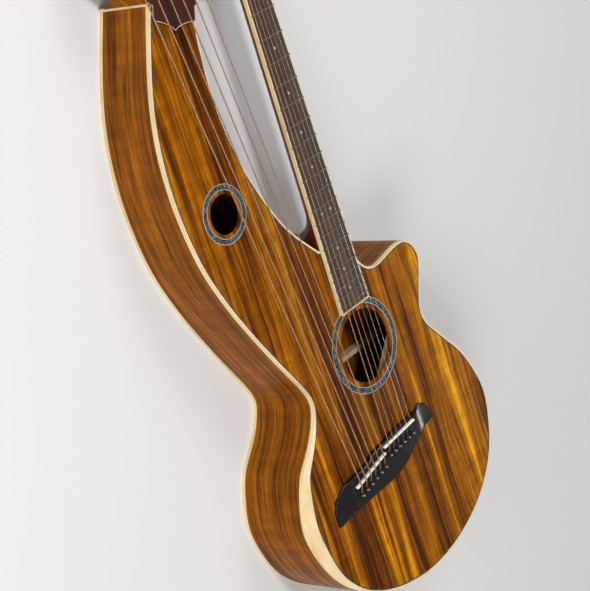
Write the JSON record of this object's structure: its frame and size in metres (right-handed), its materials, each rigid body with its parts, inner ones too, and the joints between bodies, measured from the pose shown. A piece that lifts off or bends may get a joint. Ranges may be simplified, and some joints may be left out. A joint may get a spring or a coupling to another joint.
{
  "type": "harp guitar",
  "caption": "Acoustic guitar with a hollow arm that carries extra bass strings beside the fretted neck, open-gear tuners on both heads.",
  "frame": {"origin": "on the back's outer face, under the middle of the main saddle and of the neck's width", "axes": "+Z out of the back towards the soundboard, +Y along the neck from the saddle to the heads, +X to the treble side, where the cutaway is"},
  "size_m": [0.4464, 1.0704, 0.1307],
  "materials": {
    "koa_side": "gloss lacquer over figured koa, grain along the sides",
    "koa_top": "gloss lacquer over straight-grained koa, grain along the neck",
    "koa_back": "gloss lacquer over bookmatched koa",
    "maple_binding": "gloss lacquer over pale maple",
    "abalone": "polished shell inlay",
    "spruce": "bare planed wood",
    "mahogany": "bare planed wood",
    "mahogany_neck": "satin to gloss lacquer",
    "ebony": "oiled and polished, near black",
    "bone": "polished bone",
    "tuner_nickel": "polished nickel plate",
    "plain_string": "drawn steel wire",
    "wound_string": "bronze winding on a steel core"
  },
  "bodies": {
    "instrument": {"rim": "koa_side", "soundboard": "koa_top", "back": "koa_back", "top_binding": "maple_binding", "back_binding": "maple_binding", "soundhole_rosette": "abalone", "arm_rosette": "abalone", "top_bracing": "spruce", "back_bracing": "spruce", "neck_block": "mahogany", "tail_block": "mahogany", "neck": "mahogany_neck", "fretboard": "ebony", "nut": "bone", "arm_head": "koa_side", "arm_head_plate": "ebony", "bass_nut": "bone", "bridge": "ebony", "main_saddle": "bone", "bass_saddle": "bone", "tuner_plate_treble": "tuner_nickel", "tuner_plate_bass": "tuner_nickel", "bass_tuner_plate_treble": "tuner_nickel", "bass_tuner_plate_bass": "tuner_nickel", "string_1": "plain_string", "string_2": "plain_string", "string_3": "wound_string", "string_4": "wound_string", "string_5": "wound_string", "string_6": "wound_string", "bass_string_1": "wound_string", "bass_string_2": "wound_string", "bass_string_3": "wound_string", "bass_string_4": "wound_string", "bass_string_5": "wound_string", "bass_string_6": "wound_string"},
    "tuning_post_1": {"tuner_post_1": "tuner_nickel"},
    "tuning_knob_1": {"tuner_knob_1": "tuner_nickel"},
    "tuning_post_2": {"tuner_post_2": "tuner_nickel"},
    "tuning_knob_2": {"tuner_knob_2": "tuner_nickel"},
    "tuning_post_3": {"tuner_post_3": "tuner_nickel"},
    "tuning_knob_3": {"tuner_knob_3": "tuner_nickel"},
    "tuning_post_4": {"tuner_post_4": "tuner_nickel"},
    "tuning_knob_4": {"tuner_knob_4": "tuner_nickel"},
    "tuning_post_5": {"tuner_post_5": "tuner_nickel"},
    "tuning_knob_5": {"tuner_knob_5": "tuner_nickel"},
    "tuning_post_6": {"tuner_post_6": "tuner_nickel"},
    "tuning_knob_6": {"tuner_knob_6": "tuner_nickel"},
    "bass_tuning_post_1": {"bass_tuner_post_1": "tuner_nickel"},
    "bass_tuning_knob_1": {"bass_tuner_knob_1": "tuner_nickel"},
    "bass_tuning_post_2": {"bass_tuner_post_2": "tuner_nickel"},
    "bass_tuning_knob_2": {"bass_tuner_knob_2": "tuner_nickel"},
    "bass_tuning_post_3": {"bass_tuner_post_3": "tuner_nickel"},
    "bass_tuning_knob_3": {"bass_tuner_knob_3": "tuner_nickel"},
    "bass_tuning_post_4": {"bass_tuner_post_4": "tuner_nickel"},
    "bass_tuning_knob_4": {"bass_tuner_knob_4": "tuner_nickel"},
    "bass_tuning_post_5": {"bass_tuner_post_5": "tuner_nickel"},
    "bass_tuning_knob_5": {"bass_tuner_knob_5": "tuner_nickel"},
    "bass_tuning_post_6": {"bass_tuner_post_6": "tuner_nickel"},
    "bass_tuning_knob_6": {"bass_tuner_knob_6": "tuner_nickel"}
  },
  "joints": [
    {"name": "tuner_post_1_turn", "type": "hinge", "parent": "instrument", "child": "tuning_post_1", "pos_m": [0.0215, 0.68691, 0.06421], "axis": [0, 0.28, 0.96], "continuous": true},
    {"name": "tuner_knob_1_turn", "type": "hinge", "parent": "instrument", "child": "tuning_knob_1", "pos_m": [0.0215, 0.69306, 0.0569], "axis": [1, 0, 0], "continuous": true},
    {"name": "tuner_post_2_turn", "type": "hinge", "parent": "instrument", "child": "tuning_post_2", "pos_m": [0.0215, 0.72339, 0.05357], "axis": [0, 0.28, 0.96], "continuous": true},
    {"name": "tuner_knob_2_turn", "type": "hinge", "parent": "instrument", "child": "tuning_knob_2", "pos_m": [0.0215, 0.72954, 0.04626], "axis": [1, 0, 0], "continuous": true},
    {"name": "tuner_post_3_turn", "type": "hinge", "parent": "instrument", "child": "tuning_post_3", "pos_m": [0.0215, 0.75987, 0.04294], "axis": [0, 0.28, 0.96], "continuous": true},
    {"name": "tuner_knob_3_turn", "type": "hinge", "parent": "instrument", "child": "tuning_knob_3", "pos_m": [0.0215, 0.76602, 0.03562], "axis": [1, 0, 0], "continuous": true},
    {"name": "tuner_post_4_turn", "type": "hinge", "parent": "instrument", "child": "tuning_post_4", "pos_m": [-0.0215, 0.75987, 0.04294], "axis": [0, 0.28, 0.96], "continuous": true},
    {"name": "tuner_knob_4_turn", "type": "hinge", "parent": "instrument", "child": "tuning_knob_4", "pos_m": [-0.0215, 0.75075, 0.04007], "axis": [-1, 0, 0], "continuous": true},
    {"name": "tuner_post_5_turn", "type": "hinge", "parent": "instrument", "child": "tuning_post_5", "pos_m": [-0.0215, 0.72339, 0.05357], "axis": [0, 0.28, 0.96], "continuous": true},
    {"name": "tuner_knob_5_turn", "type": "hinge", "parent": "instrument", "child": "tuning_knob_5", "pos_m": [-0.0215, 0.71427, 0.05071], "axis": [-1, 0, 0], "continuous": true},
    {"name": "tuner_post_6_turn", "type": "hinge", "parent": "instrument", "child": "tuning_post_6", "pos_m": [-0.0215, 0.68691, 0.06421], "axis": [0, 0.28, 0.96], "continuous": true},
    {"name": "tuner_knob_6_turn", "type": "hinge", "parent": "instrument", "child": "tuning_knob_6", "pos_m": [-0.0215, 0.67779, 0.06135], "axis": [-1, 0, 0], "continuous": true},
    {"name": "bass_tuner_post_1_turn", "type": "hinge", "parent": "instrument", "child": "bass_tuning_post_1", "pos_m": [-0.09786, 0.76547, 0.06687], "axis": [0, 0.0394, 0.9992], "continuous": true},
    {"name": "bass_tuner_knob_1_turn", "type": "hinge", "parent": "instrument", "child": "bass_tuning_knob_1", "pos_m": [-0.1027, 0.77156, 0.06132], "axis": [0.7933, 0.6083, -0.024], "continuous": true},
    {"name": "bass_tuner_post_2_turn", "type": "hinge", "parent": "instrument", "child": "bass_tuning_post_2", "pos_m": [-0.12006, 0.79428, 0.06573], "axis": [0, 0.0394, 0.9992], "continuous": true},
    {"name": "bass_tuner_knob_2_turn", "type": "hinge", "parent": "instrument", "child": "bass_tuning_knob_2", "pos_m": [-0.1249, 0.80037, 0.06019], "axis": [0.7933, 0.6083, -0.024], "continuous": true},
    {"name": "bass_tuner_post_3_turn", "type": "hinge", "parent": "instrument", "child": "bass_tuning_post_3", "pos_m": [-0.14226, 0.8231, 0.06459], "axis": [0, 0.0394, 0.9992], "continuous": true},
    {"name": "bass_tuner_knob_3_turn", "type": "hinge", "parent": "instrument", "child": "bass_tuning_knob_3", "pos_m": [-0.1471, 0.82919, 0.05905], "axis": [0.7933, 0.6083, -0.024], "continuous": true},
    {"name": "bass_tuner_post_4_turn", "type": "hinge", "parent": "instrument", "child": "bass_tuning_post_4", "pos_m": [-0.16954, 0.82023, 0.0647], "axis": [0, 0.0394, 0.9992], "continuous": true},
    {"name": "bass_tuner_knob_4_turn", "type": "hinge", "parent": "instrument", "child": "bass_tuning_knob_4", "pos_m": [-0.17296, 0.81285, 0.05969], "axis": [-0.9026, 0.4302, -0.017], "continuous": true},
    {"name": "bass_tuner_post_5_turn", "type": "hinge", "parent": "instrument", "child": "bass_tuning_post_5", "pos_m": [-0.18526, 0.78743, 0.066], "axis": [0, 0.0394, 0.9992], "continuous": true},
    {"name": "bass_tuner_knob_5_turn", "type": "hinge", "parent": "instrument", "child": "bass_tuning_knob_5", "pos_m": [-0.18868, 0.78006, 0.06099], "axis": [-0.9026, 0.4302, -0.017], "continuous": true},
    {"name": "bass_tuner_post_6_turn", "type": "hinge", "parent": "instrument", "child": "bass_tuning_post_6", "pos_m": [-0.20097, 0.75464, 0.06729], "axis": [0, 0.0394, 0.9992], "continuous": true},
    {"name": "bass_tuner_knob_6_turn", "type": "hinge", "parent": "instrument", "child": "bass_tuning_knob_6", "pos_m": [-0.2044, 0.74726, 0.06228], "axis": [-0.9026, 0.4302, -0.017], "continuous": true}
  ],
  "couplings": [
    {"joint": "tuner_post_1_turn", "follows": "tuner_knob_1_turn", "ratio": 0.071429},
    {"joint": "tuner_post_2_turn", "follows": "tuner_knob_2_turn", "ratio": 0.071429},
    {"joint": "tuner_post_3_turn", "follows": "tuner_knob_3_turn", "ratio": 0.071429},
    {"joint": "tuner_post_4_turn", "follows": "tuner_knob_4_turn", "ratio": 0.071429},
    {"joint": "tuner_post_5_turn", "follows": "tuner_knob_5_turn", "ratio": 0.071429},
    {"joint": "tuner_post_6_turn", "follows": "tuner_knob_6_turn", "ratio": 0.071429},
    {"joint": "bass_tuner_post_1_turn", "follows": "bass_tuner_knob_1_turn", "ratio": 0.071429},
    {"joint": "bass_tuner_post_2_turn", "follows": "bass_tuner_knob_2_turn", "ratio": 0.071429},
    {"joint": "bass_tuner_post_3_turn", "follows": "bass_tuner_knob_3_turn", "ratio": 0.071429},
    {"joint": "bass_tuner_post_4_turn", "follows": "bass_tuner_knob_4_turn", "ratio": 0.071429},
    {"joint": "bass_tuner_post_5_turn", "follows": "bass_tuner_knob_5_turn", "ratio": 0.071429},
    {"joint": "bass_tuner_post_6_turn", "follows": "bass_tuner_knob_6_turn", "ratio": 0.071429}
  ]
}
